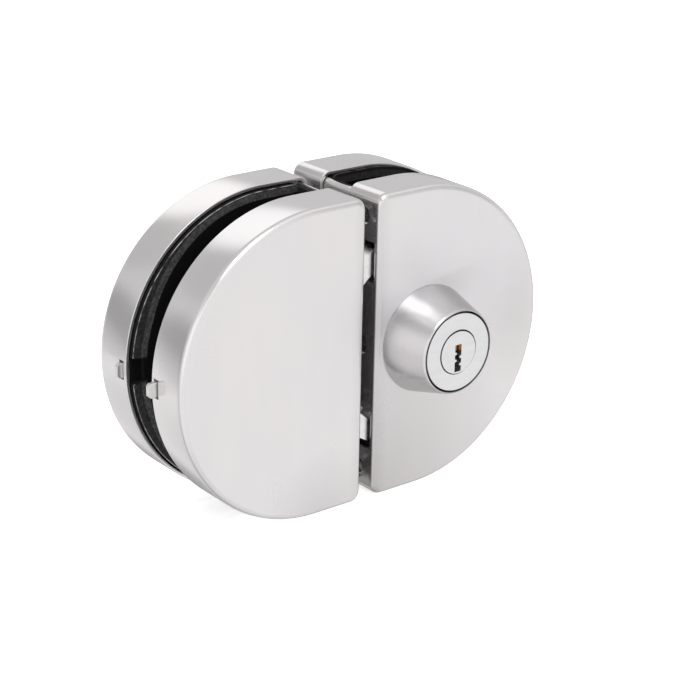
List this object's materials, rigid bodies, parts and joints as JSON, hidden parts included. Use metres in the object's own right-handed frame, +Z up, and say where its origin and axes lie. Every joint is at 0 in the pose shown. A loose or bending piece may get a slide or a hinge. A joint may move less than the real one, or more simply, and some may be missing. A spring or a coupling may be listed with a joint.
{
  "type": "sliding glass door lock",
  "caption": "Clamp-on lock for two sliding glass doors: D-shaped steel lock and strike units, geared claw hooks, key cylinder with guard and thumb turn.",
  "frame": {"origin": "middle of the gap between the two units, at mid glass and mid height", "axes": "+X along the door's travel from the strike unit to the lock unit, +Y through the glass from the key side to the thumb-turn side, +Z up"},
  "size_m": [0.153, 0.0808, 0.105],
  "materials": {
    "brushed_steel": "satin brushed stainless steel",
    "sheet_steel": "plain folded stainless sheet",
    "screw_steel": "plain steel",
    "hook_chrome": "bright plated",
    "cylinder_satin": "satin chrome",
    "case_zinc": "zinc-plated steel",
    "gear_brass": "machined brass",
    "pin_copper": "copper-coloured brass",
    "gasket_rubber": "matt textured rubber"
  },
  "bodies": {
    "housing": {"case_lid": "case_zinc", "case_screw_1": "screw_steel", "case_screw_2": "screw_steel", "cylinder_guard": "brushed_steel", "cylinder_housing": "cylinder_satin", "cylinder_screw_1": "screw_steel", "cylinder_screw_2": "screw_steel", "idler_pin": "screw_steel", "lock_back_cover": "brushed_steel", "lock_back_gasket": "gasket_rubber", "lock_back_screw_lower": "screw_steel", "lock_back_screw_middle": "screw_steel", "lock_back_screw_upper": "screw_steel", "lock_case": "case_zinc", "lock_channel": "sheet_steel", "lock_clamp_bolt_lower": "screw_steel", "lock_clamp_bolt_upper": "screw_steel", "lock_clamp_nut_lower": "case_zinc", "lock_clamp_nut_upper": "case_zinc", "lock_edge_gasket": "gasket_rubber", "lock_front_cover": "brushed_steel", "lock_front_gasket": "gasket_rubber", "lock_front_screw_lower": "screw_steel", "lock_front_screw_middle": "screw_steel", "lock_front_screw_upper": "screw_steel", "lower_pivot_pin": "screw_steel", "strike_back_cover": "brushed_steel", "strike_back_gasket": "gasket_rubber", "strike_back_screw_lower": "screw_steel", "strike_back_screw_middle": "screw_steel", "strike_back_screw_upper": "screw_steel", "strike_channel": "sheet_steel", "strike_clamp_bolt_lower": "screw_steel", "strike_clamp_bolt_upper": "screw_steel", "strike_clamp_nut_lower": "case_zinc", "strike_clamp_nut_upper": "case_zinc", "strike_edge_gasket": "gasket_rubber", "strike_front_cover": "brushed_steel", "strike_front_gasket": "gasket_rubber", "strike_front_screw_lower": "screw_steel", "strike_front_screw_middle": "screw_steel", "strike_front_screw_upper": "screw_steel", "thumb_turn_rose": "brushed_steel", "upper_pivot_pin": "screw_steel"},
    "cylinder_drive": {"cylinder_plug": "cylinder_satin", "spindle": "screw_steel", "drive_pinion": "gear_brass", "thumb_turn": "brushed_steel", "thumb_turn_clip": "screw_steel"},
    "key_pin_body": {"key_pin": "pin_copper"},
    "upper_hook_body": {"upper_hook": "hook_chrome"},
    "lower_hook_body": {"lower_hook": "hook_chrome"},
    "idler_body": {"idler_gear": "gear_brass"}
  },
  "joints": [
    {"name": "plug_turn", "type": "hinge", "parent": "housing", "child": "cylinder_drive", "pos_m": [0.0235, 0, 0], "axis": [0, -1, 0], "range_deg": [0, 90]},
    {"name": "upper_hook_swing", "type": "hinge", "parent": "housing", "child": "upper_hook_body", "pos_m": [0.01421, 0, 0.0076], "axis": [0, 1, 0], "range_deg": [0, 64.3]},
    {"name": "lower_hook_swing", "type": "hinge", "parent": "housing", "child": "lower_hook_body", "pos_m": [0.01421, 0, -0.0076], "axis": [0, -1, 0], "range_deg": [0, 64.3]},
    {"name": "idler_turn", "type": "hinge", "parent": "housing", "child": "idler_body", "pos_m": [0.02514, 0, -0.00885], "axis": [0, 1, 0], "range_deg": [0, 112.5]},
    {"name": "key_pin_lift", "type": "slide", "parent": "cylinder_drive", "child": "key_pin_body", "axis": [0, 0, 1], "range_m": [0, 0.0009], "stiffness_N_per_m": 60, "springref_m": -0.001}
  ],
  "couplings": [
    {"joint": "upper_hook_swing", "follows": "plug_turn", "ratio": 0.71429},
    {"joint": "lower_hook_swing", "follows": "plug_turn", "ratio": 0.71429},
    {"joint": "idler_turn", "follows": "plug_turn", "ratio": 1.25}
  ]
}
